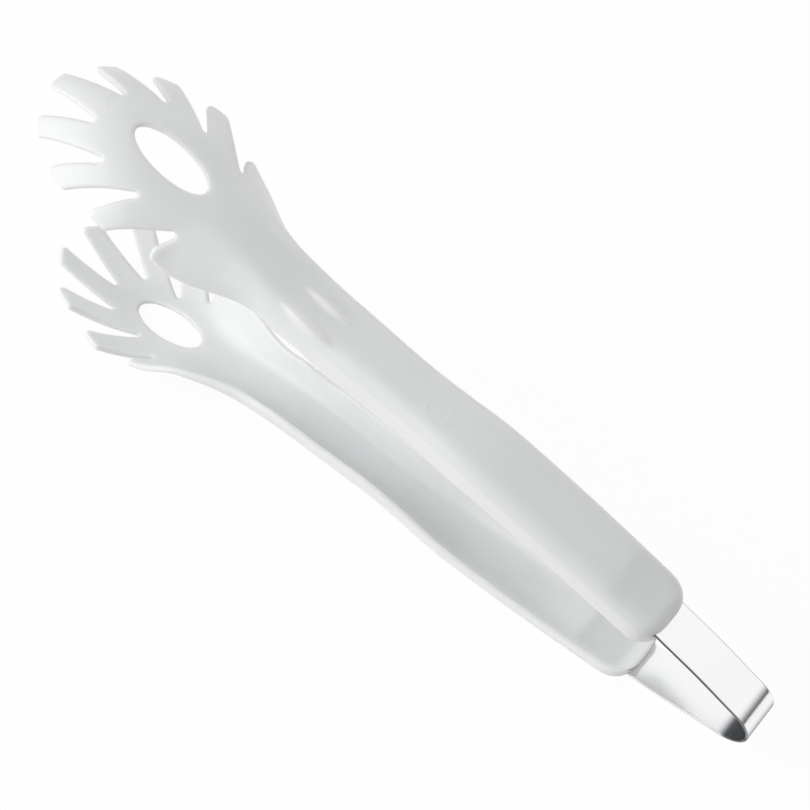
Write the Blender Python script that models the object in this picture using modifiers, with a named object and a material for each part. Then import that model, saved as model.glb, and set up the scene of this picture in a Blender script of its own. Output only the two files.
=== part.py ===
"""Pasta tongs: two moulded plastic arms, whose curled fingers mesh, on one bent strip of spring steel.

Each arm is modelled flat on its mid-plane: x is 0 at the tail end and falls towards the fingertips, y runs across,
and z is the height above the plane in which the two arms meet. The origin of the finished part is the middle of the
flat land on the lower handle, on which the tongs lie.
"""
import math

import bmesh
import bpy
import numpy as np
from mathutils import Matrix, Vector

# The arm along its length, from the tail
HOLE_DISTANCE = 0.2093
HEAD_REACH = 0.0495
HANDLE_HALF_WIDTH = 0.0136
HANDLE_DEPTH = 0.0095
TAIL_HEIGHT = 0.0250
HEAD_HEIGHT = 0.0575
HEAD_SLOPE = 0.2157
LAND_SLOPE = 0.16
LAND_LENGTH = 0.0700
LAND_WIDTH = 0.0060
FLARE_LENGTH = 0.0483
LEVEL_LENGTH = 0.0213
WALL = 0.0024
TAIL_CORNER_RADIUS = 0.0090
TAIL_EDGE_RADIUS = 0.0045

# The dished head
HEAD_HALF_WIDTH = 0.0285
HEAD_SPARE = 0.0025
THORN_HALF_WIDTH = 0.0247
THORN_BLEND = 0.0100
DISH_FLAT_RADIUS = 0.00584
DISH_CURL_RADIUS = 0.0256
DISH_BACK_CURL_RADIUS = 0.0125
DISH_CHANGE_LENGTH = 0.0200
DISH_FRONT_SHARE = 0.707
DISH_BACK_SHARE = 0.30
DISH_POWER = 1.618
DISH_END_SHARE = 1.30
DISH_END_LIMIT = 0.95
HOLE_LENGTH = 0.0292
HOLE_WIDTH = 0.0119

# Blunt fingertips with two rounded corners each, the thorns behind them, and the rounded valleys between
FINGER_HALF_WIDTH = 0.0040
CORNER_RADIUS = 0.00148
THORN_RADIUS = 0.0024
VALLEY_RADIUS = 0.00083

# The spring strip
STRIP_WIDTH = 0.0150
STRIP_THICKNESS = 0.0010
BEND_DISTANCE = 0.0302
BEND_RADIUS = 0.0103
LEG_ANGLE = math.radians(16.0)
TANG_LENGTH = 0.0200
CORE_LENGTH = 0.0245
CORE_RECESS = 0.0004
SEAT_GAP = 0.0003
CUT_OVERRUN = 0.0100
WELD_SHARE = 0.01

# Shares of HOLE_DISTANCE along the back, with shares of HEAD_HEIGHT for its height
BACK_SHARES = ((0.526, 0.678), (0.717, 0.737))
# Shares of HOLE_DISTANCE, with shares of the handle's half width, or of its depth
WIDTH_SHARES = ((0.0, 0.94), (0.29, 1.0), (0.37, 0.97), (0.45, 0.88), (0.54, 0.85), (0.62, 0.90), (0.77, 0.95),
                (1.0, 0.95))
DEPTH_SHARES = ((0.0, 1.0), (0.14, 0.93), (0.29, 1.0), (0.52, 1.06), (0.72, 1.14), (0.77, 1.20), (0.84, 1.40),
                (1.0, 1.75))

# Valleys and thorns: shares of HEAD_REACH ahead of the hole, and of HEAD_HALF_WIDTH to the side
# Fingertips: the same two, then the share of FINGER_HALF_WIDTH, and the skew of the tip as a share of a right angle
UPPER_TIP_SHARES = ((0.984, 0.0, 0.948, 0.0), (0.849, 0.547, 0.935, 0.357), (0.505, 0.885, 1.208, 0.516),
                    (0.099, 0.980, 1.015, 0.484))
UPPER_VALLEY_SHARES = ((0.558, 0.247), (0.338, 0.547), (0.006, 0.586), (-0.320, 0.585))
UPPER_THORN_SHARES = (-0.313, 0.820)
LOWER_TIP_SHARES = ((0.930, 0.282, 0.973, 0.363), (0.650, 0.728, 1.233, 0.477), (0.267, 0.939, 1.168, 0.369))
LOWER_VALLEY_SHARES = ((0.564, 0.0), (0.430, 0.327), (0.120, 0.407), (-0.118, 0.597))
LOWER_THORN_SHARES = (-0.079, 0.820)

# Roundness of the handle's arch across, and the largest share of its half width that the land takes
ARCH_POWER = 2.3
LAND_SHARE = 0.60

HANDLE_STATIONS = 26
HEAD_STATIONS = 26
TAIL_STATIONS = 5
SIDE_POINTS = 8
CORNER_SEGMENTS = 4
THORN_SEGMENTS = 6
VALLEY_SEGMENTS = 4
HOLE_SEGMENTS = 36
BEND_SEGMENTS = 14

PLASTIC_COLOUR = (0.62, 0.63, 0.635, 1.0)
STEEL_COLOUR = (0.80, 0.81, 0.82, 1.0)


def smoothstep(value):
    """0 for a value below 0, 1 for one above 1, and 3v^2 - 2v^3 between."""
    v = np.clip(value, 0.0, 1.0)
    return v * v * (3.0 - 2.0 * v)


def curve_through(xs, ys, slopes, x):
    """Cubic curve through the points, each with its slope."""
    i = np.clip(np.searchsorted(xs, x) - 1, 0, len(xs) - 2)
    step = xs[i + 1] - xs[i]
    t = (x - xs[i]) / step
    left = (1 + 2 * t) * (1 - t) ** 2 * ys[i] + t * (1 - t) ** 2 * step * slopes[i]
    right = t * t * (3 - 2 * t) * ys[i + 1] - t * t * (1 - t) * step * slopes[i + 1]
    return left + right


def back_height(u):
    """Height of the arm's back on its centre line, at distance u from the tail."""
    level_start = HOLE_DISTANCE - LEVEL_LENGTH
    head_line = HEAD_HEIGHT + HEAD_SLOPE * (u - HOLE_DISTANCE)
    land_line = TAIL_HEIGHT + LAND_SLOPE * u
    shares = np.array(BACK_SHARES)
    xs = np.concatenate(([LAND_LENGTH], shares[:, 0] * HOLE_DISTANCE, [level_start]))
    ys = np.concatenate(([TAIL_HEIGHT + LAND_SLOPE * LAND_LENGTH], shares[:, 1] * HEAD_HEIGHT,
                         [HEAD_HEIGHT - HEAD_SLOPE * LEVEL_LENGTH]))
    slopes = np.gradient(ys, xs)
    slopes[0] = LAND_SLOPE
    slopes[-1] = HEAD_SLOPE
    middle = curve_through(xs, ys, slopes, u)
    return np.where(u < LAND_LENGTH, land_line, np.where(u > level_start, head_line, middle))


def share_curve(shares, u):
    """A smooth curve through a table of shares along HOLE_DISTANCE."""
    table = np.array(shares)
    xs = table[:, 0] * HOLE_DISTANCE
    slopes = np.gradient(table[:, 1], xs)
    return curve_through(xs, table[:, 1], slopes, np.clip(u, 0.0, HOLE_DISTANCE))


def rounded(u, radius):
    """How far an edge of this radius is drawn in at distance u from the tail."""
    short = radius - np.clip(u, 0.0, radius)
    return radius - np.sqrt(radius ** 2 - short ** 2)


def dish_depth(ahead, y):
    """A flat middle, then a parabola: (r - flat)^2 / (2 curl), where r counts distance ahead less than sideways."""
    stretch = np.where(ahead > 0, DISH_FRONT_SHARE, DISH_BACK_SHARE)
    r = (np.abs(stretch * ahead) ** DISH_POWER + np.abs(y) ** DISH_POWER) ** (1 / DISH_POWER)
    curl = DISH_CURL_RADIUS + (DISH_BACK_CURL_RADIUS - DISH_CURL_RADIUS) * smoothstep(-ahead / DISH_CHANGE_LENGTH)
    return np.maximum(0.0, r - DISH_FLAT_RADIUS) ** 2 / (2 * curl)


def dish_half_width(ahead, thorn):
    """Half width of the blank that the fingers are cut from: an oval front, drawn in to the thorn at the back."""
    full = HEAD_HALF_WIDTH + HEAD_SPARE
    front = full * np.sqrt(1 - np.clip(ahead / (DISH_END_SHARE * HEAD_REACH), 0.0, DISH_END_LIMIT) ** 2)
    back = THORN_HALF_WIDTH + (full - THORN_HALF_WIDTH) * smoothstep((ahead - thorn) / THORN_BLEND)
    return np.minimum(front, back)


def section(u, thorn, inset=0.0):
    """Points across the arm at distance u: an arch on the handle that opens into the dished head."""
    ahead = u - HOLE_DISTANCE
    angle = np.linspace(0.0, math.pi / 2, SIDE_POINTS)
    draw_in = rounded(u, TAIL_EDGE_RADIUS)
    half = HANDLE_HALF_WIDTH * share_curve(WIDTH_SHARES, u) - rounded(u, TAIL_CORNER_RADIUS) - inset
    depth = HANDLE_DEPTH * share_curve(DEPTH_SHARES, u) - draw_in - inset
    land = min(LAND_WIDTH / 2, LAND_SHARE * half)
    arch_y = land + (half - land) * np.sin(angle) ** (2 / ARCH_POWER)
    arch_depth = depth * (1 - np.cos(angle) ** (2 / ARCH_POWER))
    wide = dish_half_width(ahead, thorn)
    dish_y = land + (wide - land) * angle / angle[-1]
    open_share = smoothstep((ahead + FLARE_LENGTH) / (FLARE_LENGTH + thorn + THORN_RADIUS))
    y = arch_y + (dish_y - arch_y) * open_share
    drop = arch_depth + (dish_depth(ahead, dish_y) - arch_depth) * open_share
    z = back_height(u) - draw_in - inset - drop
    side = np.stack([np.full(SIDE_POINTS, -u), y, z], 1)
    return np.concatenate([side[::-1], side * [1, -1, 1]])


def loft(name, rings, close_start, close_sides):
    """A mesh through rings of points, with the first ring capped, or closed all round."""
    mesh = bpy.data.meshes.new(name)
    count = len(rings[0])
    faces = []
    for i in range(len(rings) - 1):
        for j in range(count if close_sides else count - 1):
            k = (j + 1) % count
            faces.append((i * count + j, (i + 1) * count + j, (i + 1) * count + k, i * count + k))
    if close_start or close_sides:
        faces.append(tuple(range(count)))
    if close_sides:
        last = (len(rings) - 1) * count
        faces.append(tuple(last + j for j in reversed(range(count))))
    mesh.from_pydata([tuple(p) for p in np.concatenate(rings)], [], faces)
    return face_outwards(mesh)


def face_outwards(mesh):
    """Welds doubles and makes every face of a mesh point the same way, outwards where it is closed."""
    bm = bmesh.new()
    bm.from_mesh(mesh)
    bmesh.ops.remove_doubles(bm, verts=bm.verts, dist=WELD_SHARE * SEAT_GAP)
    bmesh.ops.recalc_face_normals(bm, faces=bm.faces)
    bm.to_mesh(mesh)
    bm.free()
    return mesh


def belt(circles):
    """A line run round circles in turn: outside the tips, and inside the valleys, whose radius is negative."""
    tangents = []
    for (ax, ay, ar, _), (bx, by, br, _) in zip(circles, circles[1:]):
        along = math.atan2(by - ay, bx - ax)
        tangents.append(along - math.asin((br - ar) / math.hypot(bx - ax, by - ay)))
    points = []
    for (cx, cy, radius, segments), start, end in zip(circles[1:-1], tangents, tangents[1:]):
        way = math.copysign(1, radius)
        turn = (way * (end - start) + math.pi / 2) % math.tau - math.pi / 2
        for angle in np.linspace(start, start + way * turn, segments + 1):
            points.append((cx + radius * math.sin(angle), cy - radius * math.cos(angle)))
    return points


def in_plan(shares):
    """Place ahead of the hole and to the side, from its shares."""
    return np.array([shares[0] * HEAD_REACH, shares[1] * HEAD_HALF_WIDTH])


def corners(tip, root):
    """Centres of the rounded corners of a blunt fingertip that stands out from its root, the inner one first."""
    middle = in_plan(tip)
    ahead, side = middle - root
    way = math.atan2(side, ahead) + tip[3] * math.pi / 2
    across = np.array([-math.sin(way), math.cos(way)]) * (tip[2] * FINGER_HALF_WIDTH - CORNER_RADIUS)
    return middle - across, middle + across


def head_outline(tips, valleys, thorn):
    """Outline of the fingers in plan, from the thorn on one side round to the thorn on the other."""
    centred = tips[0][1] == 0
    places = [in_plan(share) for share in valleys]
    if centred:
        places.insert(0, places[0] * [1, -1])
    half = []
    for tip, before, after in zip(tips, places, places[1:]):
        half.append((before, -VALLEY_RADIUS, VALLEY_SEGMENTS))
        half += [(corner, CORNER_RADIUS, CORNER_SEGMENTS) for corner in corners(tip, (before + after) / 2)]
    half.append((places[-1], -VALLEY_RADIUS, VALLEY_SEGMENTS))
    half.append((in_plan(thorn), THORN_RADIUS, THORN_SEGMENTS))
    left = half[2:] if centred else half
    right = half[2:] if centred else half[1:]
    guard = -HOLE_DISTANCE - in_plan(thorn)[0] + CUT_OVERRUN
    far = HEAD_HALF_WIDTH + CUT_OVERRUN
    circles = [(guard, far, VALLEY_RADIUS, 1)]
    for side, row in ((1, left[::-1]), (-1, right)):
        circles += [(-HOLE_DISTANCE - place[0], side * place[1], radius, count) for place, radius, count in row]
    circles.append((guard, -far, VALLEY_RADIUS, 1))
    return [(guard, far)] + belt(circles) + [(guard, -far), (CUT_OVERRUN, -far), (CUT_OVERRUN, far)]


def plate(name, outline, height, collection):
    """A solid of this outline in plan, from a flat curve."""
    curve = bpy.data.curves.new(name, "CURVE")
    curve.dimensions = "2D"
    curve.fill_mode = "BOTH"
    curve.extrude = height
    spline = curve.splines.new("POLY")
    spline.points.add(len(outline) - 1)
    for point, (x, y) in zip(spline.points, outline):
        point.co = (x, y, 0.0, 1.0)
    spline.use_cyclic_u = True
    guide = bpy.data.objects.new(name + "_curve", curve)
    collection.objects.link(guide)
    bpy.context.view_layer.update()
    depsgraph = bpy.context.evaluated_depsgraph_get()
    mesh = bpy.data.meshes.new_from_object(guide.evaluated_get(depsgraph))
    bpy.data.objects.remove(guide)
    obj = bpy.data.objects.new(name, face_outwards(mesh))
    collection.objects.link(obj)
    return obj


def ellipse(length, width):
    """Points of the oval hole in plan."""
    turns = np.linspace(0.0, math.tau, HOLE_SEGMENTS, endpoint=False)
    return [(-HOLE_DISTANCE + length / 2 * math.cos(a), width / 2 * math.sin(a)) for a in turns]


def strip_plane():
    """Where the upper leg leaves the bend, in side view, and the direction in which it runs to the tail."""
    leave = Vector((BEND_DISTANCE + BEND_RADIUS * math.sin(LEG_ANGLE), 0.0, BEND_RADIUS * math.cos(LEG_ANGLE)))
    return leave, Vector((-math.cos(LEG_ANGLE), 0.0, math.sin(LEG_ANGLE)))


def box(name, size, matrix, collection):
    """A box of this size, placed by a matrix that is applied to its mesh."""
    mesh = bpy.data.meshes.new(name)
    bm = bmesh.new()
    bmesh.ops.create_cube(bm, size=1.0)
    bmesh.ops.scale(bm, vec=size, verts=bm.verts)
    bm.transform(matrix)
    bm.to_mesh(mesh)
    bm.free()
    obj = bpy.data.objects.new(name, mesh)
    collection.objects.link(obj)
    return obj


def leg_matrix(length):
    """Place of a box of this length that lies on the upper leg and ends at the tang's end."""
    leave, run = strip_plane()
    reach = leg_length()
    middle = leave + run * (reach - length / 2)
    return Matrix.Translation(middle) @ Matrix.Rotation(LEG_ANGLE, 4, "Y")


def leg_length():
    """From the bend to the end of the tang, which lies TANG_LENGTH inside the arm."""
    leave, _ = strip_plane()
    return (leave.x + TANG_LENGTH) / math.cos(LEG_ANGLE)


def hide_cutter(obj):
    obj.hide_render = True
    obj.display_type = "WIRE"


def cut(obj, tool, operation):
    modifier = obj.modifiers.new(tool.name, "BOOLEAN")
    modifier.operation = operation
    modifier.object = tool
    modifier.solver = "EXACT"
    hide_cutter(tool)
    return modifier


def make_arm(name, tips, valleys, thorn_place, material, parts, cutters):
    """One arm: a wall on a lofted surface, with a solid tail, the fingers cut out in plan, the hole and the slot."""
    thorn = in_plan(thorn_place)[0]
    tail = TAIL_CORNER_RADIUS * (1 - np.cos(np.linspace(0.0, math.pi / 2, TAIL_STATIONS)))
    neck = HOLE_DISTANCE - FLARE_LENGTH
    handle = np.linspace(TAIL_CORNER_RADIUS, neck, HANDLE_STATIONS)[1:]
    handle = np.sort(np.append(handle, LAND_LENGTH))
    head = np.linspace(neck, HOLE_DISTANCE + HEAD_REACH + HEAD_SPARE, HEAD_STATIONS)[1:]
    stations = np.concatenate([tail, handle, head])
    arm = bpy.data.objects.new(name, loft(name, [section(u, thorn) for u in stations], True, False))
    parts.objects.link(arm)
    outward_share = sum(face.normal.z * face.area for face in arm.data.polygons)
    if outward_share < 0:
        arm.data.flip_normals()
    wall = arm.modifiers.new("wall", "SOLIDIFY")
    wall.thickness = WALL
    wall.offset = -1.0
    wall.use_even_offset = True

    inside = np.linspace(WALL / 2, CORE_LENGTH, TAIL_STATIONS + 3)
    rings = []
    for u in inside:
        ring = section(u, thorn, WALL / 2)
        ring[:, 2] = np.maximum(ring[:, 2], ring[0, 2] + CORE_RECESS + WALL / 2)
        rings.append(ring)
    core = bpy.data.objects.new(name + "_core", loft(name + "_core", rings, True, True))
    cutters.objects.link(core)
    cut(arm, core, "UNION")

    height = HEAD_HEIGHT + WALL + CUT_OVERRUN
    fingers = plate(name + "_fingers", head_outline(tips, valleys, thorn_place), height, cutters)
    cut(arm, fingers, "INTERSECT")
    cut(arm, plate(name + "_hole", ellipse(HOLE_LENGTH, HOLE_WIDTH), height, cutters), "DIFFERENCE")

    slot_length = TANG_LENGTH / math.cos(LEG_ANGLE) + SEAT_GAP + CUT_OVERRUN
    size = (slot_length, STRIP_WIDTH + 2 * SEAT_GAP, STRIP_THICKNESS + 2 * SEAT_GAP)
    deeper = Matrix.Translation(strip_plane()[1] * SEAT_GAP)
    cut(arm, box(name + "_slot", size, deeper @ leg_matrix(slot_length), cutters), "DIFFERENCE")
    arm.data.materials.append(material)
    return arm


def make_leg(name, material, parts):
    """One straight leg of the strip, from the bend into the arm."""
    length = leg_length() - SEAT_GAP / 2
    leg = box(name, (length, STRIP_WIDTH, STRIP_THICKNESS), leg_matrix(length), parts)
    leg.data.materials.append(material)
    return leg


def make_bend(material, parts):
    """The bend of the strip: an arc in side view, with the strip's thickness and width."""
    gap_angle = SEAT_GAP / 2 / BEND_RADIUS
    span = math.pi - 2 * LEG_ANGLE
    angles = np.linspace(gap_angle, span - gap_angle, BEND_SEGMENTS + 1) - span / 2
    rings = []
    for angle in angles:
        ring = []
        for r, y in ((-1, -1), (1, -1), (1, 1), (-1, 1)):
            radius = BEND_RADIUS + r * STRIP_THICKNESS / 2
            ring.append((BEND_DISTANCE + radius * math.cos(angle), y * STRIP_WIDTH / 2, radius * math.sin(angle)))
        rings.append(np.array(ring))
    bend = bpy.data.objects.new("spring_bend", loft("spring_bend", rings, True, True))
    bend.data.materials.append(material)
    parts.objects.link(bend)
    return bend


def make_material(name, colour, roughness, metallic):
    material = bpy.data.materials.new(name)
    material.use_nodes = True
    shader = material.node_tree.nodes["Principled BSDF"]
    shader.inputs["Base Color"].default_value = colour
    shader.inputs["Roughness"].default_value = roughness
    shader.inputs["Metallic"].default_value = metallic
    return material


def new_collection(name):
    collection = bpy.data.collections.new(name)
    bpy.context.scene.collection.children.link(collection)
    return collection


def part_matrix():
    """From the mid-plane to the finished part: the lower arm's land lies level, with its middle at the origin."""
    middle = Vector((-LAND_LENGTH / 2, 0.0, -(TAIL_HEIGHT + LAND_SLOPE * LAND_LENGTH / 2)))
    return Matrix.Rotation(math.atan(LAND_SLOPE), 4, "Y") @ Matrix.Translation(-middle)


def build():
    for obj in list(bpy.data.objects):
        bpy.data.objects.remove(obj)
    parts = new_collection("pasta_tongs")
    cutters = new_collection("cutters")
    plastic = make_material("white_plastic", PLASTIC_COLOUR, 0.32, 0.0)
    steel = make_material("polished_steel", STEEL_COLOUR, 0.12, 1.0)

    upper_shares = (UPPER_TIP_SHARES, UPPER_VALLEY_SHARES, UPPER_THORN_SHARES)
    lower_shares = (LOWER_TIP_SHARES, LOWER_VALLEY_SHARES, LOWER_THORN_SHARES)
    upper_arm = make_arm("upper_arm", *upper_shares, plastic, parts, cutters)
    lower_arm = make_arm("lower_arm", *lower_shares, plastic, parts, cutters)
    upper_leg = make_leg("spring_upper_leg", steel, parts)
    lower_leg = make_leg("spring_lower_leg", steel, parts)
    bend = make_bend(steel, parts)

    level = part_matrix()
    turned = level @ Matrix.Rotation(math.pi, 4, "X")
    hinge = bpy.data.objects.new("squeeze_axis", None)
    parts.objects.link(hinge)
    hinge.matrix_world = level @ Matrix.Translation((BEND_DISTANCE, 0.0, 0.0))
    bpy.context.view_layer.update()
    for obj in (upper_arm, upper_leg):
        obj.parent = hinge
        obj.matrix_parent_inverse = hinge.matrix_world.inverted() @ level
    for obj in (lower_arm, lower_leg):
        obj.matrix_world = turned
    bend.matrix_world = level
    for tool in cutters.objects:
        if tool.name.startswith("upper"):
            tool.parent = hinge
            tool.matrix_parent_inverse = hinge.matrix_world.inverted() @ level
        else:
            tool.matrix_world = turned


build()
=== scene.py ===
# Pasta tongs: two moulded plastic arms whose curled fingers mesh, on one bent strip of polished spring steel
import math
import bpy
import numpy as np
from mathutils import Matrix


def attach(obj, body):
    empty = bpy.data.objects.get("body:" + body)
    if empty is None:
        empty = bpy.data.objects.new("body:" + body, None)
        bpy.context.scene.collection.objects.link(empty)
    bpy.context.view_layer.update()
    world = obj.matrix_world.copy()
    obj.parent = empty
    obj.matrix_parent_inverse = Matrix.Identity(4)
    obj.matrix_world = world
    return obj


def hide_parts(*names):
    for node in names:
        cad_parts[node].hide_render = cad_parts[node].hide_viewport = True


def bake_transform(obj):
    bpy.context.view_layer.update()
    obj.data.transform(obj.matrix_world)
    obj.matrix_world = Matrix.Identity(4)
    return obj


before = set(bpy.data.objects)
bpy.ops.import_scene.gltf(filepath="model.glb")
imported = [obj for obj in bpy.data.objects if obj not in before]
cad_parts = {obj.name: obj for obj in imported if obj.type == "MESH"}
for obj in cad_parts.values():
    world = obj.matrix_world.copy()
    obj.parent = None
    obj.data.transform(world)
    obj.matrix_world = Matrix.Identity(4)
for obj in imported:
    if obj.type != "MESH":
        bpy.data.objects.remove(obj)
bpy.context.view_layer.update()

print("stage 1: frame loaded,", len(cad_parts), "solids")

# All lengths are in metres. An arm is worked out on its mid-plane: x is minus u, the distance from the tail end,
# y runs across and z is the height above the plane in which the two arms meet.
armShape = {
    # the back in side view: straight from the tail, then a curve, then the straight line of the head
    "tailHeight": 0.0250, "landSlope": 0.16, "landLength": 0.070,
    "backPoints": [(0.526, 0.678), (0.717, 0.737)],      # shares of holeDistance and headHeight
    "headHeight": 0.0575, "headSlope": 0.2157, "levelLength": 0.0213, "holeDistance": 0.2093, "headReach": 0.0495,
    # the trough: half width and depth, each times a value that changes with the share of holeDistance
    "halfWidth": 0.0136, "depth": 0.0095, "archPower": 2 / 2.6, "flareLength": 0.0483,
    "widthPoints": [(0, .927), (.29, .982), (.37, .97), (.45, .897), (.54, .872), (.62, .908), (.77, .934), (1, .95)],
    "depthPoints": [(0, 1.05), (.14, .94), (.29, 1.03), (.37, 1.17), (.45, 1.29), (.52, 1.38), (.62, 1.34),
                    (.72, 1.38), (.77, 1.40), (.84, 1.46), (1, 1.75)],
    "landWidth": 0.0060, "landMost": 0.6, "landShare": 0.15,     # most of the half width, share of the steps across
    # the wall, its rounded edges, and the tail, which is filled behind a lip
    "wall": 0.0024, "rimRound": 0.0008, "fingerRound": 0.00112, "fingerRoundStart": 0.17, "fingerRoundBlend": 0.03,
    "tailCorner": 0.0090, "tailEdge": 0.0045, "coreLength": 0.045, "coreHollow": 0.30, "coreLip": 0.006,
    # how finely the surface is worked out: steps along the tail, the handle and the head, steps from the middle to a
    # rim, and depths below each face; leastRun keeps a steep slope from stretching a distance too far
    "tailStep": 0.0005, "handleStep": 0.0013, "headStep": 0.00055, "tailEnd": 0.0060, "headStart": 0.1560,
    "headMargin": 0.0035, "flareMargin": 0.0040, "acrossSteps": 60, "leastRun": 0.04,
    "layers": [-0.0006, -0.0002, 0.0002, 0.0006, 0.0010], "sharpAngle": math.radians(50),
}

headShape = {
    "blankHalfWidth": 0.0310, "thornHalfWidth": 0.0247, "thornBlend": 0.0100, "endShare": 1.30, "endMost": 0.95,
    "flatRadius": 0.00584, "curlRadius": 0.0256, "backCurlRadius": 0.0125, "changeLength": 0.0200,
    "frontShare": 0.707, "backShare": 0.30, "power": 1.618,
    "holeLength": 0.0292, "holeWidth": 0.0119, "holeSteps": 72,
    "cornerRadius": 0.00148, "thornRadius": 0.0024, "valleyRadius": 0.00083, "arcSteps": 12, "outlineMargin": 0.010,
}

# Millimetres ahead of the hole and to the side; a blunt fingertip also has its half width and its skew in radians
upperFingers = {
    "tips": [(48.7, 0, 3.79, 0), (42.0, 15.6, 3.74, 0.56), (25.0, 25.2, 4.83, 0.81), (4.9, 27.9, 4.06, 0.76)],
    "valleys": [(27.6, 7.04), (16.7, 15.6), (0.3, 16.7), (-15.8, 16.7)],
    "thorn": (-15.5, 23.4),
}
lowerFingers = {
    "tips": [(46.0, 8.03, 3.89, 0.57), (32.2, 20.75, 4.93, 0.75), (13.2, 26.75, 4.67, 0.58)],
    "valleys": [(27.9, 0), (21.3, 9.32), (5.94, 11.6), (-5.84, 17.0)],
    "thorn": (-3.9, 23.4),
}
millimetre = 0.001

# The two narrow raised drops on an arm's back: start and end from the tail, place across, half width and height
teardrops = {
    "ranges": [(0.1345, 0.1545), (0.1350, 0.1530)], "places": [-0.0082, 0.0011],
    "halfWidths": [0.0026, 0.0021], "heights": [0.0020, 0.0014],
    "endWidth": 0.35, "risePower": 0.7, "outerDepth": 0.00215,
}


def smooth(value):                       # 0 below 0, 1 above 1, 3v^2 - 2v^3 between
    v = np.clip(value, 0.0, 1.0)
    return v * v * (3 - 2 * v)


def curveThrough(xs, ys, slopes, x):     # cubic Hermite curve through the points, each with its slope
    xs, ys = np.asarray(xs, float), np.asarray(ys, float)
    i = np.clip(np.searchsorted(xs, x) - 1, 0, len(xs) - 2)
    step = xs[i + 1] - xs[i]
    t = (x - xs[i]) / step
    left = (1 + 2 * t) * (1 - t) ** 2 * ys[i] + t * (1 - t) ** 2 * step * slopes[i]
    right = t * t * (3 - 2 * t) * ys[i + 1] - t * t * (1 - t) * step * slopes[i + 1]
    return left + right


def shareCurve(table, u, length):        # a smooth curve through (share of the length, value) pairs
    xs, ys = np.array(table, float).T
    xs = xs * length
    return curveThrough(xs, ys, np.gradient(ys, xs), np.clip(u, 0, length))


def backHeight(u, s):                    # straight land, then a curve, then the straight line of the head
    landEnd = s["tailHeight"] + s["landSlope"] * s["landLength"]
    points = np.array(s["backPoints"])
    levelStart = s["holeDistance"] - s["levelLength"]
    xs = np.concatenate(([s["landLength"]], points[:, 0] * s["holeDistance"], [levelStart]))
    ys = np.concatenate(([landEnd], points[:, 1] * s["headHeight"],
                         [s["headHeight"] - s["headSlope"] * s["levelLength"]]))
    slopes = np.gradient(ys, xs)
    slopes[0], slopes[-1] = s["landSlope"], s["headSlope"]
    middle = curveThrough(xs, ys, slopes, u)
    head = s["headHeight"] + s["headSlope"] * (u - s["holeDistance"])
    land = s["tailHeight"] + s["landSlope"] * u
    return np.where(u < s["landLength"], land, np.where(u > levelStart, head, middle))


def drawnIn(u, radius):                  # how far a round edge of this radius is drawn in at distance u from the tail
    short = radius - np.clip(u, 0, radius)
    return radius - np.sqrt(radius ** 2 - short ** 2)


def outerSurface(u, v, thorn):
    # u along the arm, v from -1 to 1 across: an arch whose cosine and sine are drawn towards a square, which opens
    # towards the head into a dish: flat in the middle, then the parabola (r - flat)^2 / (2 curl)
    s, h = armShape, headShape
    size = np.abs(v)
    beyond = np.clip((size - s["landShare"]) / (1 - s["landShare"]), 0, 1)
    angle = beyond * math.pi / 2
    edge = drawnIn(u, s["tailEdge"])
    half = s["halfWidth"] * shareCurve(s["widthPoints"], u, s["holeDistance"]) - drawnIn(u, s["tailCorner"])
    depth = s["depth"] * shareCurve(s["depthPoints"], u, s["holeDistance"]) - edge
    land = np.minimum(s["landWidth"] / 2, s["landMost"] * half)
    onLand = land * np.clip(size / s["landShare"], 0, 1)
    archY = onLand + (half - land) * np.sin(angle) ** s["archPower"]
    archDepth = depth * (1 - np.clip(np.cos(angle), 0, 1) ** s["archPower"])

    ahead = u - s["holeDistance"]
    toEnd = np.clip(ahead / (h["endShare"] * s["headReach"]), 0, h["endMost"])
    front = h["blankHalfWidth"] * np.sqrt(1 - toEnd ** 2)
    fromThorn = smooth((ahead - thorn) / h["thornBlend"])
    back = h["thornHalfWidth"] + (h["blankHalfWidth"] - h["thornHalfWidth"]) * fromThorn
    wide = np.minimum(front, back)
    dishY = onLand + (wide - land) * beyond
    stretch = np.where(ahead > 0, h["frontShare"], h["backShare"])
    p = h["power"]
    r = (np.abs(stretch * ahead) ** p + dishY ** p) ** (1 / p)
    curl = h["curlRadius"] + (h["backCurlRadius"] - h["curlRadius"]) * smooth(-ahead / h["changeLength"])
    dishDrop = np.maximum(0, r - h["flatRadius"]) ** 2 / (2 * curl)

    share = smooth((ahead + s["flareLength"]) / (s["flareLength"] + thorn + h["thornRadius"]))
    y = archY + (dishY - archY) * share
    z = backHeight(u, s) - edge - (archDepth + (dishDrop - archDepth) * share)
    return np.stack([-u + 0 * y, np.sign(v) * y, z], -1)


def teardropBumps(u, y):
    # how high the drops stand: along the arm the power of a half sine, across it a squared cosine, which is
    # narrower towards both ends
    t = teardrops
    total = 0
    for (start, end), place, halfWidth, height in zip(t["ranges"], t["places"], t["halfWidths"], t["heights"]):
        along = np.sin(np.pi * np.clip((u - start) / (end - start), 0, 1))
        across = (y - place) / (halfWidth * (t["endWidth"] + (1 - t["endWidth"]) * along))
        total = total + height * along ** t["risePower"] * np.cos(np.pi / 2 * np.clip(across, -1, 1)) ** 2
    return total


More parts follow.
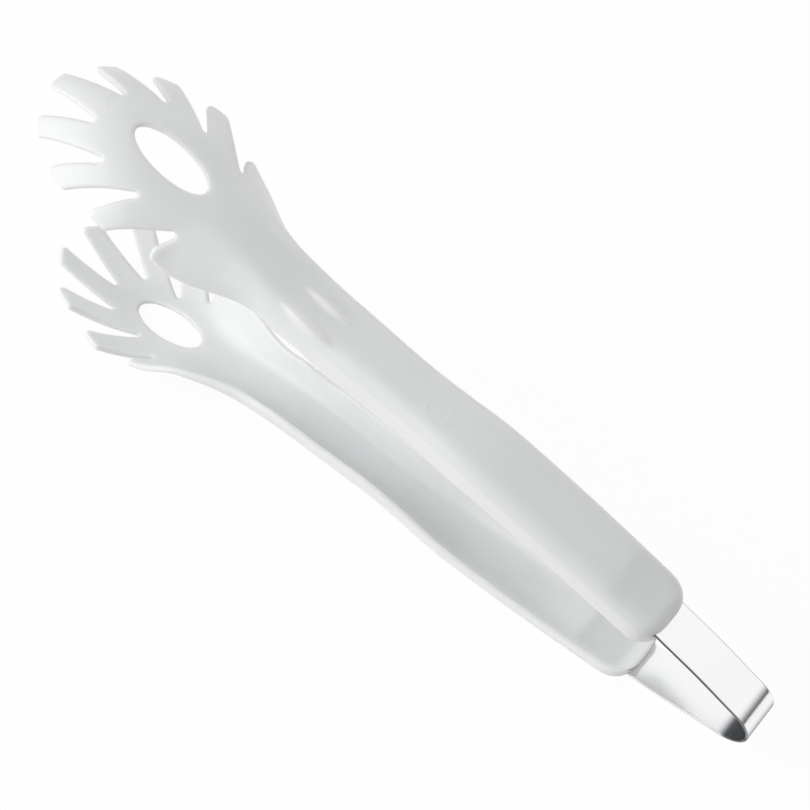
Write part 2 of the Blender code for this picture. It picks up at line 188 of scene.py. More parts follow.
def beltRound(circles):
    # a line run round circles in turn on their common tangents: outside the tips, inside the valleys, whose
    # radius is negative
    tangents = []
    for (ax, ay, ar), (bx, by, br) in zip(circles, circles[1:]):
        tangents.append(math.atan2(by - ay, bx - ax) - math.asin((br - ar) / math.hypot(bx - ax, by - ay)))
    arcs = []
    for (cx, cy, radius), start, end in zip(circles[1:-1], tangents, tangents[1:]):
        way = math.copysign(1, radius)
        turn = (way * (end - start) + math.pi / 2) % math.tau - math.pi / 2
        a = np.linspace(start, start + way * turn, headShape["arcSteps"] + 1)
        arcs.append(np.stack([cx + radius * np.sin(a), cy - radius * np.cos(a)], 1))
    return np.concatenate(arcs)


def fingerLoop(fingers):
    # the closed outline in plan that the fingers are cut to, from the centre line outwards on each side: a valley,
    # then the two rounded corners of the fingertip, which stands square to its way from its root, but for its skew
    h = headShape
    valleys = [np.array(place) * millimetre for place in fingers["valleys"]]
    centred = fingers["tips"][0][1] == 0
    if centred:
        valleys.insert(0, valleys[0] * [1, -1])
    half = []
    for tip, before, after in zip(fingers["tips"], valleys, valleys[1:]):
        middle = np.array(tip[:2]) * millimetre
        ahead, side = middle - (before + after) / 2
        way = math.atan2(side, ahead) + tip[3]
        across = np.array([-math.sin(way), math.cos(way)]) * (tip[2] * millimetre - h["cornerRadius"])
        half.append((before, -h["valleyRadius"]))
        half += [(middle - across, h["cornerRadius"]), (middle + across, h["cornerRadius"])]
    half.append((valleys[-1], -h["valleyRadius"]))
    half.append((np.array(fingers["thorn"]) * millimetre, h["thornRadius"]))
    left = half[2:] if centred else half
    right = half[2:] if centred else half[1:]
    hole, past = armShape["holeDistance"], h["outlineMargin"]
    guard, far = -hole - fingers["thorn"][0] * millimetre + past, h["blankHalfWidth"] + past
    circles = [(guard, far, h["valleyRadius"])]
    for side, row in ((1, left[::-1]), (-1, right)):
        circles += [(-hole - place[0], side * place[1], radius) for place, radius in row]
    circles.append((guard, -far, h["valleyRadius"]))
    return np.concatenate([beltRound(circles), [(guard, -far), (past, -far), (past, far), (guard, far)]])


def ovalLoop():                          # the oval hole in plan: an ellipse round the hole's centre
    h = headShape
    a = np.linspace(0, math.tau, h["holeSteps"] + 1)[:-1]
    return np.stack([-armShape["holeDistance"] + h["holeLength"] / 2 * np.cos(a), h["holeWidth"] / 2 * np.sin(a)], 1)


def distanceToLoop(points, loop):
    # signed distance in plan to a closed line, negative inside, and the direction in which it grows; the tiny
    # values only keep it from dividing by nothing
    start, along = loop, np.roll(loop, -1, 0) - loop
    apart = points[:, None, :] - start[None]
    t = np.clip((apart * along).sum(-1) / np.maximum((along ** 2).sum(-1), 1e-18), 0, 1)
    gap = apart - along * t[..., None]
    size = (gap ** 2).sum(-1)
    nearest = size.argmin(1)
    rows = np.arange(len(points))
    distance = np.sqrt(size[rows, nearest])
    end = start + along
    px, py = points[:, :1], points[:, 1:]
    spans = (start[None, :, 1] > py) != (end[None, :, 1] > py)
    rise = np.where(along[:, 1] == 0, 1e-12, along[:, 1])
    crosses = spans & (px < start[None, :, 0] + (py - start[None, :, 1]) * (along[:, 0] / rise)[None])
    sign = np.where(crosses.sum(1) % 2 == 1, -1.0, 1.0)
    growth = gap[rows, nearest] / np.maximum(distance, 1e-9)[:, None] * sign[:, None]
    return sign * distance, growth


def netSurface(points, field):
    # closed surface where a field on a bent 3-D grid is zero: one vertex for each cell that it crosses, at the mean
    # of the crossings on the cell's edges, and one quad round each grid edge that it crosses
    cells = tuple(n - 1 for n in field.shape)
    total, count = np.zeros((*cells, 3)), np.zeros(cells)
    inside = field < 0
    edges = []
    for axis in range(3):
        low = [slice(None)] * 3
        high = [slice(None)] * 3
        low[axis], high[axis] = slice(0, -1), slice(1, None)
        low, high = tuple(low), tuple(high)
        crossed = inside[low] != inside[high]
        t = np.where(crossed, field[low] / np.where(crossed, field[low] - field[high], 1), 0)
        where = points[low] + (points[high] - points[low]) * t[..., None]
        edges.append((crossed, inside[low]))
        b, c = (axis + 1) % 3, (axis + 2) % 3
        for db in (0, 1):
            for dc in (0, 1):
                part = [slice(None)] * 3
                part[b] = slice(db, db + cells[b])
                part[c] = slice(dc, dc + cells[c])
                part = tuple(part)
                total += where[part] * crossed[part][..., None]
                count += crossed[part]
    active = count > 0
    number = np.full(cells, -1)
    number[active] = np.arange(active.sum())
    vertices = total[active] / count[active][:, None]
    quads = []
    for axis, (crossed, starts) in enumerate(edges):
        b, c = (axis + 1) % 3, (axis + 2) % 3
        at = np.argwhere(crossed)
        within = (at[:, b] > 0) & (at[:, b] < cells[b]) & (at[:, c] > 0) & (at[:, c] < cells[c])
        at = at[within]
        corners = []
        for db, dc in ((-1, -1), (0, -1), (0, 0), (-1, 0)):
            cell = at.copy()
            cell[:, b] += db
            cell[:, c] += dc
            corners.append(number[tuple(cell.T)])
        quad = np.stack(corners, 1)
        flip = ~starts[tuple(at.T)]
        quad[flip] = quad[flip][:, ::-1]
        quads.append(quad)
    quads = np.concatenate(quads)
    a, b, c, d = (vertices[quads[:, i]] for i in range(4))
    volume = (np.cross(c - a, d - b) * (a + b + c + d)).sum()
    return vertices, quads if volume > 0 else quads[:, ::-1]


def edgeDistance(u, outer, alongU, alongV, fingers):
    # distance along the outer surface to the nearest edge, negative inside: to the tail and the rims by length, and
    # to the fingers' outline and the hole by the distance in plan, stretched by the slope there
    s = armShape
    middle = outer.shape[1] // 2
    steps = np.linalg.norm(np.diff(outer, axis=1), axis=-1)
    arc = np.concatenate([np.zeros((len(u), 1)), np.cumsum(steps, 1)], 1)
    toRim = np.abs(arc - arc[:, [middle]]) - (arc[:, -1:] - arc[:, [middle]])
    distance = np.maximum(toRim, -u[:, None])
    near = u > s["holeDistance"] - s["flareLength"] - s["flareMargin"]
    plan = outer[near][..., :2]
    slopeY = alongV[near][..., 2] / np.where(alongV[near][..., 1] < 1e-6, 1e-6, alongV[near][..., 1])
    slopeX = -(alongU[near][..., 2] - slopeY * alongU[near][..., 1])
    slope = np.stack([slopeX, slopeY], -1)
    for loop, side in ((fingerLoop(fingers), 1), (ovalLoop(), -1)):
        apart, growth = distanceToLoop(plan.reshape(-1, 2), loop)
        apart, growth = apart.reshape(plan.shape[:2]), growth.reshape(plan.shape)
        climb = (growth * slope).sum(-1) ** 2 / (1 + (slope ** 2).sum(-1))
        onSurface = side * apart / np.sqrt(np.maximum(1 - climb, s["leastRun"]))
        distance[near] = np.maximum(distance[near], onSurface)
    return distance


def padded(a):                           # two columns more past each rim, straight on
    first, last = a[:, :1] - a[:, 1:2], a[:, -1:] - a[:, -2:-1]
    return np.concatenate([a[:, :1] + 2 * first, a[:, :1] + first, a, a[:, -1:] + last, a[:, -1:] + 2 * last], 1)


def armSurface(fingers):
    # the wall between the outer surface, with its drops, and the inward offset of the plain one, which towards the
    # tail is drawn out to the rim's level so that the trough gets shallow; it is kept where it lies inside the
    # outline and outside the hole, and every edge is rounded
    s = armShape
    reach = s["holeDistance"] + s["headReach"] + s["headMargin"]
    u = np.concatenate([np.arange(-2, round(s["tailEnd"] / s["tailStep"])) * s["tailStep"],
                        np.arange(s["tailEnd"], s["headStart"], s["handleStep"]),
                        np.arange(s["headStart"], reach, s["headStep"])])
    v = np.linspace(-1, 1, 2 * s["acrossSteps"] + 1)
    gridU, gridV = np.meshgrid(u, v, indexing="ij")
    outer = outerSurface(np.maximum(gridU, 0), gridV, fingers["thorn"][0] * millimetre)
    outer[..., 0] = -gridU

    alongU = np.gradient(outer, u, axis=0, edge_order=2)
    alongV = np.gradient(outer, v, axis=1, edge_order=2)
    normal = np.cross(alongV, alongU)
    normal /= np.linalg.norm(normal, axis=-1, keepdims=True)
    normal *= np.sign(normal[:, len(v) // 2, 2])[:, None, None]
    inner = outer - normal * s["wall"]

    rim = outer[:, -1, 2][:, None]
    rimInside = np.abs(inner[:, -1, 1])[:, None]
    face = np.stack([outer[..., 0], outer[..., 1] / outer[:, -1:, 1] * rimInside, rim + 0 * gridV], -1)
    filled = (1 - s["coreHollow"]) * (1 - smooth(gridU / s["coreLength"]))
    filled = 1 - (1 - filled) * smooth(gridU / s["coreLip"])
    inner = inner + (face - inner) * filled[..., None]
    outer = outer + normal * teardropBumps(gridU, outer[..., 1])[..., None]

    distance = padded(edgeDistance(u, outer, alongU, alongV, fingers))
    outer, inner = padded(outer), padded(inner)
    thickness = np.linalg.norm(inner - outer, axis=-1)
    layers = np.array(s["layers"])
    depth = np.concatenate([np.broadcast_to(layers, (*thickness.shape, len(layers))),
                            thickness[..., None] - layers[::-1]], -1)
    points = outer[:, :, None] + (inner - outer)[:, :, None] * (depth / thickness[..., None])[..., None]

    # the field of a rounded bar: how far past the edge sideways, and how far past the wall's two faces
    towardsTips = smooth((u - s["fingerRoundStart"]) / s["fingerRoundBlend"])[:, None, None]
    edge = s["rimRound"] + (s["fingerRound"] - s["rimRound"]) * towardsTips
    sideways = distance[..., None] + edge
    through = np.abs(depth - thickness[..., None] / 2) - thickness[..., None] / 2 + edge
    field = np.minimum(np.maximum(sideways, through), 0)
    field = field + np.hypot(np.maximum(sideways, 0), np.maximum(through, 0)) - edge
    return netSurface(points, field)


# The finished part's frame: the lower arm's flat land lies level, with its middle at the origin
landMiddle = (armShape["landLength"] / 2, armShape["tailHeight"] + armShape["landSlope"] * armShape["landLength"] / 2)
level = (Matrix.Rotation(math.atan(armShape["landSlope"]), 4, "Y")
         @ Matrix.Translation((landMiddle[0], 0, landMiddle[1])))
turnedOver = level @ Matrix.Rotation(math.pi, 4, "X")


def placed(points, matrix):              # the points turned and moved by the matrix
    m = np.array(matrix)
    return points @ m[:3, :3].T + m[:3, 3]


def meshPiece(name, points, faces, material, body=None):      # a smooth mesh object at the origin
    mesh = bpy.data.meshes.new(name)
    mesh.from_pydata(points.tolist(), [], faces if isinstance(faces, list) else faces.tolist())
    mesh.polygons.foreach_set("use_smooth", np.ones(len(mesh.polygons), bool))
    mesh.update()
    piece = bpy.data.objects.new(name, mesh)
    bpy.context.scene.collection.objects.link(piece)
    mesh.materials.append(material)
    if body:
        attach(piece, body)
    return piece


stripShape = {
    "width": 0.0150, "thickness": 0.0010, "edgeRound": 0.0003, "bendDistance": 0.0302, "bendRadius": 0.0103,
    "legAngle": math.radians(16), "tang": 0.0200, "bow": 0.0006, "bowPastTail": 0.0010,
    "slotGap": 0.00045, "slotPastTail": 0.0120,
    "legSteps": 60, "bendSteps": 40, "cornerSteps": 3,
    "acrossPlaces": [0.97, 0.92, 0.80, 0.40, 0.0, -0.40, -0.80, -0.92, -0.97],
    # where shade and reflection are painted dark on the steel, which is rougher there too: edges, inside of the bend
    # by the share of the strip's half length, outside by angle
    "shadeEdge": 0.0006, "shadeStart": 0.20, "shadeLength": 0.07, "shadeLowerEdge": 0.30, "shadeFarEdge": 0.25,
    "apexShade": 1.0, "apexAngle": math.radians(3), "apexSpread": math.radians(34),
}


def legStart():                          # in side view: where the upper leg leaves the bend, and its way to the tail
    s = stripShape
    angle = s["legAngle"]
    leave = np.array([s["bendDistance"] + s["bendRadius"] * math.sin(angle), s["bendRadius"] * math.cos(angle)])
    return leave, np.array([-math.cos(angle), math.sin(angle)])


def stripLine():
    # the strip's middle line in side view: a leg bowed by a squared sine, a circular bend and the other leg, as
    # points and normals
    s = stripShape
    angle = s["legAngle"]
    leave, run = legStart()
    length = (leave[0] + s["tang"]) / math.cos(angle)
    free = (leave[0] + s["bowPastTail"]) / math.cos(angle)
    t = np.linspace(length, 0, s["legSteps"])
    bow = s["bow"] * np.sin(np.pi * np.clip(t / free, 0, 1)) ** 2
    out = np.array([math.sin(angle), math.cos(angle)])
    leg = leave + run * t[:, None] + out * bow[:, None]
    span = math.pi - 2 * angle
    a = np.linspace(span / 2, -span / 2, s["bendSteps"] + 1)[1:-1]
    arc = np.stack([s["bendDistance"] + s["bendRadius"] * np.cos(a), s["bendRadius"] * np.sin(a)], 1)
    line = np.concatenate([leg, arc, leg[::-1] * [1, -1]])
    tangent = np.gradient(line, axis=0)
    tangent /= np.linalg.norm(tangent, axis=1, keepdims=True)
    return line, np.stack([-tangent[:, 1], tangent[:, 0]], 1)


def stripSurface():
    # a rectangle with rounded edges carried along the strip's line
    s = stripShape
    line, normal = stripLine()
    half, thick, r = s["width"] / 2, s["thickness"] / 2, s["edgeRound"]
    a = np.linspace(0, math.pi / 2, s["cornerSteps"] + 1)
    corner = np.stack([half - r + r * np.cos(a), thick - r + r * np.sin(a)], 1)
    across = (half - r) * np.array(s["acrossPlaces"])
    top = np.stack([across, np.full(len(across), thick)], 1)
    side = np.concatenate([corner, top, corner[::-1] * [-1, 1]])
    profile = np.concatenate([side, side[::-1] * [1, -1]])
    y = np.broadcast_to(profile[:, 0], (len(line), len(profile)))
    place = line[:, None] + normal[:, None] * profile[None, :, 1, None]
    points = np.stack([place[..., 0], y, place[..., 1]], -1).reshape(-1, 3)
    n, m = len(line), len(profile)
    i, j = np.meshgrid(np.arange(n - 1), np.arange(m), indexing="ij")
    k = (j + 1) % m
    quads = np.stack([i * m + j, i * m + k, (i + 1) * m + k, (i + 1) * m + j], -1).reshape(-1, 4)
    faces = quads.tolist() + [list(range(m))[::-1], [(n - 1) * m + q for q in range(m)]]

    # painted shade and reflection on the steel, which is also rougher there: 1 as a painted dark reflection along its
    # edges, weaker on the far edge and the lower leg, as painted shade on the inside of the bend, falling off along
    # the legs, and as a painted dark reflection in a soft band round the apex of the bend's outside, by the angle at
    # which the strip faces
    fromBend = np.abs(np.arange(n) - (n - 1) / 2) / (n / 2)
    inBend = 1 - smooth((fromBend - s["shadeStart"]) / s["shadeLength"])
    atEdge = smooth((np.abs(y) - (half - s["shadeEdge"])) / (s["shadeEdge"] - r / 2))
    lower = smooth(np.arange(n) / (n / 2) - 0.5)[:, None]        # 0 on the upper leg and 1 on the lower one
    atEdge = atEdge * (1 + (s["shadeLowerEdge"] - 1) * lower) * np.where(y > 0, s["shadeFarEdge"], 1)
    inside = np.broadcast_to((profile[:, 1] < 0)[None], y.shape)
    facing = np.arctan2(normal[:, 1], normal[:, 0])[:, None]
    apex = s["apexShade"] * (1 - smooth(np.abs(facing - s["apexAngle"]) / s["apexSpread"]))
    paintedShade = np.maximum(atEdge, np.where(inside, inBend[:, None], apex))
    return points, faces, paintedShade.ravel()


plasticFinish = {
    "colour": (0.86, 0.874, 0.878), "paler": (0.885, 0.897, 0.90), "roughness": (0.34, 0.44), "ior": 1.5,
    "glow": 0.8, "glowDepth": 0.0035, "glowReach": (1.0, 0.97, 0.94),
    # painted highlight: the palest colour on the handle's side walls, fading out towards the head, and on the drops'
    # crests
    "highlightColour": (0.95, 0.955, 0.957), "wallStart": 0.86, "wallFade": 0.07, "wallEnd": 0.126, "wallEndFade": 0.018,
    "cloudScale": 22, "grainScale": 1400, "grainDepth": 0.00002,
    "wornFrom": 0.52, "wornTo": 0.60, "wornPaler": 0.10, "wornSmoother": 0.08,
    "marks": [(-0.0955, -0.0019, 0.0380, 0.0043), (-0.2340, 0.0019, 0.0600, 0.0038)],   # x, y, z, radius
    "markWidth": 0.0006, "markDepth": 0.00010,
}
steelFinish = {
    # the near-black colour here is painted shade and reflection on the strip, which is rougher there
    "colour": (0.93, 0.935, 0.94), "paintedShadeColour": (0.10, 0.105, 0.115), "roughness": (0.12, 0.24),
    "paintedShadeRoughness": 0.42, "streakScale": (12, 1500, 12), "streakDepth": 0.000004,
}

# A Mix node's sockets share their names, so they are called by number
mixAmount, mixFloatA, mixFloatB, mixColourA, mixColourB = 0, 2, 3, 6, 7


def nodeMaker(tree):                     # a function that makes a node and sets its inputs and settings by name
    def add(kind, **values):
        node = tree.nodes.new(kind)
        for key, value in values.items():
            if key in node.inputs:
                node.inputs[key].default_value = value
            else:
                setattr(node, key, value)
        return node
    return add


def nodeMaterial(name):                  # a new material, its Principled shader, its node maker and its linker
    material = bpy.data.materials.new(name)
    material.use_nodes = True
    tree = material.node_tree
    return material, tree.nodes["Principled BSDF"], nodeMaker(tree), tree.links.new


def markRing(add, link, place, centre, radius):
    # 1 at a set distance from a centre, falling smoothly to 0 by markWidth on either side
    away = add("ShaderNodeVectorMath", operation="DISTANCE")
    away.inputs[1].default_value = centre
    link(place, away.inputs[0])
    fromRing = add("ShaderNodeMath", operation="SUBTRACT")
    fromRing.inputs[1].default_value = radius
    link(away.outputs["Value"], fromRing.inputs[0])
    size = add("ShaderNodeMath", operation="ABSOLUTE")
    link(fromRing.outputs[0], size.inputs[0])
    ring = add("ShaderNodeMapRange", interpolation_type="SMOOTHSTEP")
    ring.inputs["From Max"].default_value = plasticFinish["markWidth"]
    ring.inputs["To Min"].default_value, ring.inputs["To Max"].default_value = 1.0, 0.0
    link(size.outputs[0], ring.inputs["Value"])
    return ring.outputs["Result"]


def makePlastic(name):
    # satin white that glows a little under its surface, cloudy in colour and roughness, paler and smoother where it
    # is handled, with a painted highlight by the attribute "pale", with a fine grain and faint round marks of the
    # mould
    f = plasticFinish
    material, shader, add, link = nodeMaterial(name)
    place = add("ShaderNodeTexCoord").outputs["Object"]
    cloud = add("ShaderNodeTexNoise", Scale=f["cloudScale"], Detail=3.0, Roughness=0.5)
    link(place, cloud.inputs["Vector"])
    shape = add("ShaderNodeNewGeometry")
    worn = add("ShaderNodeMapRange")                     # 1 where an edge stands out and gets handled
    worn.inputs["From Min"].default_value, worn.inputs["From Max"].default_value = f["wornFrom"], f["wornTo"]
    link(shape.outputs["Pointiness"], worn.inputs["Value"])

    colour = add("ShaderNodeMix", data_type="RGBA")
    colour.inputs[mixColourA].default_value = (*f["colour"], 1)
    colour.inputs[mixColourB].default_value = (*f["paler"], 1)
    mostly = add("ShaderNodeMath", operation="MULTIPLY_ADD")
    mostly.inputs[1].default_value = f["wornPaler"]
    link(worn.outputs["Result"], mostly.inputs[0])
    link(cloud.outputs["Fac"], mostly.inputs[2])
    link(mostly.outputs[0], colour.inputs[mixAmount])
    # painted highlight: the colour is drawn to a near white where the attribute "pale" is 1
    pale = add("ShaderNodeAttribute", attribute_name="pale")
    paintedHighlightMix = add("ShaderNodeMix", data_type="RGBA")
    paintedHighlightMix.inputs[mixColourB].default_value = (*f["highlightColour"], 1)
    link(pale.outputs["Fac"], paintedHighlightMix.inputs[mixAmount])
    link(colour.outputs[2], paintedHighlightMix.inputs[mixColourA])
    link(paintedHighlightMix.outputs[2], shader.inputs["Base Color"])

    rough = add("ShaderNodeMapRange")
    rough.inputs["To Min"].default_value, rough.inputs["To Max"].default_value = f["roughness"]
    link(cloud.outputs["Fac"], rough.inputs["Value"])
    smoother = add("ShaderNodeMath", operation="MULTIPLY_ADD")
    smoother.inputs[1].default_value = -f["wornSmoother"]
    link(worn.outputs["Result"], smoother.inputs[0])
    link(rough.outputs["Result"], smoother.inputs[2])
    link(smoother.outputs[0], shader.inputs["Roughness"])

    grain = add("ShaderNodeTexNoise", Scale=f["grainScale"], Detail=2.0)
    link(place, grain.inputs["Vector"])
    grainBump = add("ShaderNodeBump", Strength=1.0, Distance=f["grainDepth"])
    link(grain.outputs["Fac"], grainBump.inputs["Height"])
    rings = [markRing(add, link, place, placed(np.array(centre), matrix), radius)
             for *centre, radius in f["marks"] for matrix in (level, turnedOver)]
    highest = rings[0]
    for ring in rings[1:]:
        both = add("ShaderNodeMath", operation="MAXIMUM")
        link(highest, both.inputs[0])
        link(ring, both.inputs[1])
        highest = both.outputs[0]
    markBump = add("ShaderNodeBump", Strength=1.0, Distance=f["markDepth"])
    link(highest, markBump.inputs["Height"])
    link(grainBump.outputs["Normal"], markBump.inputs["Normal"])
    link(markBump.outputs["Normal"], shader.inputs["Normal"])

    shader.inputs["IOR"].default_value = f["ior"]
    shader.inputs["Subsurface Weight"].default_value = f["glow"]
    shader.inputs["Subsurface Scale"].default_value = f["glowDepth"]
    shader.inputs["Subsurface Radius"].default_value = f["glowReach"]
    return material


def makeSteel(name):
    # polished metal with fine streaks along the strip, painted near black and rougher where shade and reflection are
    # painted
    f = steelFinish
    material, shader, add, link = nodeMaterial(name)
    place = add("ShaderNodeTexCoord")
    stretch = add("ShaderNodeMapping", Scale=f["streakScale"])
    link(place.outputs["Object"], stretch.inputs["Vector"])
    streak = add("ShaderNodeTexNoise", Scale=1.0, Detail=3.0)
    link(stretch.outputs["Vector"], streak.inputs["Vector"])
    paintedShade = add("ShaderNodeAttribute", attribute_name="paintedShade")

    # painted shade and reflection mixed into the steel's colour
    colour = add("ShaderNodeMix", data_type="RGBA")
    colour.inputs[mixColourA].default_value = (*f["colour"], 1)
    colour.inputs[mixColourB].default_value = (*f["paintedShadeColour"], 1)
    link(paintedShade.outputs["Fac"], colour.inputs[mixAmount])
    link(colour.outputs[2], shader.inputs["Base Color"])

    rough = add("ShaderNodeMapRange")
    rough.inputs["To Min"].default_value, rough.inputs["To Max"].default_value = f["roughness"]
    link(streak.outputs["Fac"], rough.inputs["Value"])
    rougher = add("ShaderNodeMix", data_type="FLOAT")
    rougher.inputs[mixFloatB].default_value = f["paintedShadeRoughness"]
    link(paintedShade.outputs["Fac"], rougher.inputs[mixAmount])
    link(rough.outputs["Result"], rougher.inputs[mixFloatA])
    link(rougher.outputs[0], shader.inputs["Roughness"])

    bump = add("ShaderNodeBump", Strength=1.0, Distance=f["streakDepth"])
    link(streak.outputs["Fac"], bump.inputs["Height"])
    link(bump.outputs["Normal"], shader.inputs["Normal"])
    shader.inputs["Metallic"].default_value = 1.0
    return material


def cutSlot(piece, matrix):              # the slot that the strip's leg runs in, a box cut out of the arm's tail
    s = stripShape
    angle = s["legAngle"]
    leave, run = (np.insert(place, 1, 0.0) for place in legStart())
    length = s["tang"] / math.cos(angle) + s["slotPastTail"]
    reach = (leave[0] + s["tang"]) / math.cos(angle) + s["slotGap"]
    middle = leave + run * (reach - length / 2)
    half = np.array([length, s["width"] + 2 * s["slotGap"], s["thickness"] + 2 * s["slotGap"]]) / 2
    signs = np.array([(x, y, z) for x in (-1, 1) for y in (-1, 1) for z in (-1, 1)])
    along = Matrix.Translation(middle) @ Matrix.Rotation(angle, 4, "Y")
    corners = placed(placed(signs * half, along), matrix)
    sides = [(0, 1, 3, 2), (4, 6, 7, 5), (0, 4, 5, 1), (2, 3, 7, 6), (0, 2, 6, 4), (1, 5, 7, 3)]
    mesh = bpy.data.meshes.new("slot")
    mesh.from_pydata(corners.tolist(), [], sides)
    cutter = bpy.data.objects.new("slot", mesh)
    bpy.context.scene.collection.objects.link(cutter)
    cut = piece.modifiers.new("slot", "BOOLEAN")
    cut.object, cut.operation, cut.solver = cutter, "DIFFERENCE", "EXACT"
    bpy.context.view_layer.update()
    finished = bpy.data.meshes.new_from_object(piece.evaluated_get(bpy.context.evaluated_depsgraph_get()))
    piece.modifiers.clear()
    old, piece.data = piece.data, finished
    finished.name = piece.name
    bpy.data.meshes.remove(old)
    bpy.data.objects.remove(cutter)
    finished.set_sharp_from_angle(angle=armShape["sharpAngle"])


def paintedHighlight(points):
    # painted highlight on the plastic: 1 on the handle's steep side walls, where |y| nears the half width, and on the
    # drops' crests
    s, f, t = armShape, plasticFinish, teardrops
    u, y = -points[:, 0], points[:, 1]
    half = s["halfWidth"] * shareCurve(s["widthPoints"], u, s["holeDistance"])
    wall = smooth((np.abs(y) / half - f["wallStart"]) / f["wallFade"])
    wall = wall * (1 - smooth((u - f["wallEnd"]) / f["wallEndFade"]))
    outside = points[:, 2] > backHeight(u, s) - t["outerDepth"]
    return np.maximum(wall, outside * teardropBumps(u, y) / min(t["heights"])).clip(0, 1)


def makeArm(name, fingers, matrix, body, material):      # one whole arm in the part's frame, which replaces its solid
    points, quads = armSurface(fingers)
    arm = meshPiece(name, placed(points, matrix), quads, material, body)
    cutSlot(arm, matrix)
    places = np.empty(3 * len(arm.data.vertices), np.float32)
    arm.data.vertices.foreach_get("co", places)
    # the painted highlight is kept as the attribute "pale"
    pale = paintedHighlight(placed(places.reshape(-1, 3), matrix.inverted()))
    arm.data.attributes.new("pale", "FLOAT", "POINT").data.foreach_set("value", pale.astype(np.float32))
    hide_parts(name)
    arm.name = name + "_moulding"
    print("   ", arm.name, len(arm.data.vertices), "vertices")


plastic = makePlastic("moulded white plastic")
steel = makeSteel("polished spring steel")
makeArm("upper_arm", upperFingers, level, "upper_half", plastic)
makeArm("lower_arm", lowerFingers, turnedOver, "lower_half", plastic)
print("stage 2: arms moulded")

stripPoints, stripFaces, stripPaintedShade = stripSurface()
strip = meshPiece("spring_strip", placed(stripPoints, level), stripFaces, steel)
# the strip keeps its painted shade and reflection as a point attribute
strip.data.attributes.new("paintedShade", "FLOAT", "POINT").data.foreach_set("value", stripPaintedShade)
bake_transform(strip)
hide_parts("spring_upper_leg", "spring_lower_leg", "spring_bend")
print("stage 3: spring strip bent")


studio = {
    "keyPlace": (-0.95, -0.87, 0.75), "keySize": 1.4, "keyPower": 12.2,
    "farPlace": (-0.20, 1.30, 0.45), "farSize": 0.8, "farPower": 2.8,
    "lampTarget": (-0.07, 0.0, 0.05), "worldLight": 0.485, "horizonLight": 0.05, "horizonTop": 0.62,
    "floorSize": 6.0, "floorDrop": 0.0001, "floorColour": (0.8, 0.8, 0.8), "floorRoughness": 0.9,
    "paleShare": 0.90, "paleStrength": 1.03,
}


def seenDirectly(path, add, link):
    # from the light path: 1 for what the camera, a reflection or a glass sees, and 0 for the light on the object
    either = add("ShaderNodeMath", operation="MAXIMUM")
    link(path.outputs["Is Camera Ray"], either.inputs[0])
    link(path.outputs["Is Glossy Ray"], either.inputs[1])
    anyOf = add("ShaderNodeMath", operation="MAXIMUM")
    link(either.outputs[0], anyOf.inputs[0])
    link(path.outputs["Is Transmission Ray"], anyOf.inputs[1])
    return anyOf.outputs[0]


def makeFloorMaterial(name):             # a matt floor that is seen mostly as white, and keeps the object's shadow
    material, shader, add, link = nodeMaterial(name)
    shader.inputs["Base Color"].default_value = (*studio["floorColour"], 1)
    shader.inputs["Roughness"].default_value = studio["floorRoughness"]
    amount = add("ShaderNodeMath", operation="MULTIPLY")
    amount.inputs[1].default_value = studio["paleShare"]
    link(seenDirectly(add("ShaderNodeLightPath"), add, link), amount.inputs[0])
    glow = add("ShaderNodeEmission", Color=(1, 1, 1, 1), Strength=studio["paleStrength"])
    mix = add("ShaderNodeMixShader")
    link(amount.outputs[0], mix.inputs[0])
    link(shader.outputs[0], mix.inputs[1])
    link(glow.outputs[0], mix.inputs[2])
    link(mix.outputs[0], material.node_tree.nodes["Material Output"].inputs["Surface"])
    return material


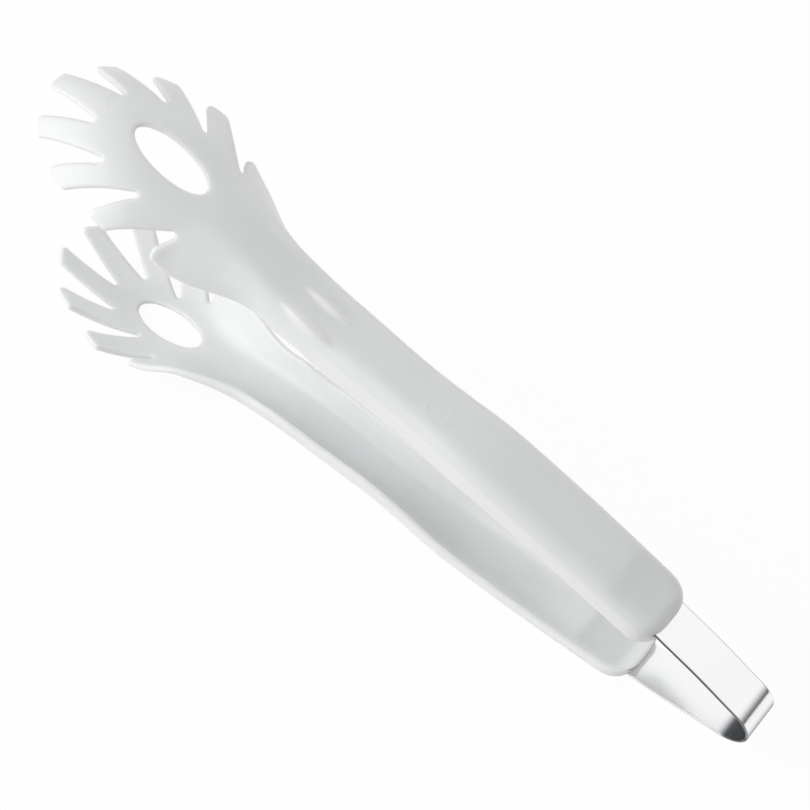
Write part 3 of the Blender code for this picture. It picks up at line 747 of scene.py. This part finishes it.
def makeWorld():
    # white for the camera, even light for the object, and for reflections a white room that is dim at the horizon
    world = bpy.data.worlds.new("studio")
    bpy.context.scene.world = world
    world.use_nodes = True
    add, link = nodeMaker(world.node_tree), world.node_tree.links.new
    way = add("ShaderNodeTexCoord")
    parts = add("ShaderNodeSeparateXYZ")
    link(way.outputs["Generated"], parts.inputs[0])
    room = add("ShaderNodeMapRange", interpolation_type="SMOOTHSTEP")
    room.inputs["From Min"].default_value, room.inputs["From Max"].default_value = 0.0, studio["horizonTop"]
    room.inputs["To Min"].default_value, room.inputs["To Max"].default_value = studio["horizonLight"], 1.0
    link(parts.outputs["Z"], room.inputs["Value"])
    path = add("ShaderNodeLightPath")
    white = add("ShaderNodeMath", operation="MAXIMUM")
    link(path.outputs["Is Camera Ray"], white.inputs[0])
    link(room.outputs["Result"], white.inputs[1])
    strength = add("ShaderNodeMix", data_type="FLOAT")
    strength.inputs[mixFloatA].default_value = studio["worldLight"]
    link(seenDirectly(path, add, link), strength.inputs[mixAmount])
    link(white.outputs[0], strength.inputs[mixFloatB])
    back = world.node_tree.nodes["Background"]
    back.inputs["Color"].default_value = (1, 1, 1, 1)
    link(strength.outputs[0], back.inputs["Strength"])


def areaLight(name, place, size, power):      # a round soft light that points at the lamp target
    light = bpy.data.lights.new(name, "AREA")
    light.shape = "DISK"
    light.size = size
    light.energy = power
    lamp = bpy.data.objects.new(name, light)
    bpy.context.scene.collection.objects.link(lamp)
    away = np.array(place) - np.array(studio["lampTarget"])
    z = away / np.linalg.norm(away)
    x = np.cross((0, 0, 1), z)
    x /= np.linalg.norm(x)
    y = np.cross(z, x)
    lamp.matrix_world = Matrix([*zip(x, y, z, place), (0, 0, 0, 1)])


half = studio["floorSize"] / 2
corners = [(x, y, -studio["floorDrop"]) for x, y in ((-half, -half), (half, -half), (half, half), (-half, half))]
floor = meshPiece("floor", np.array(corners), [[0, 1, 2, 3]], makeFloorMaterial("pale floor"))
makeWorld()
areaLight("key", studio["keyPlace"], studio["keySize"], studio["keyPower"])
areaLight("far fill", studio["farPlace"], studio["farSize"], studio["farPower"])

camera = bpy.data.cameras.new("camera")
camera.lens, camera.sensor_width = 84.1735, 36
cameraObject = bpy.data.objects.new("camera", camera)
bpy.context.scene.collection.objects.link(cameraObject)
cameraObject.matrix_world = Matrix([[0.77444, -0.53901, 0.33123, 0.13706],
                                    [0.63261, 0.66586, -0.39551, -0.24023],
                                    [-0.00737, 0.51584, 0.85665, 0.58316],
                                    [0, 0, 0, 1]])
bpy.context.scene.camera = cameraObject
bpy.context.scene.view_settings.view_transform = "Standard"
print("stage 4: studio lit")
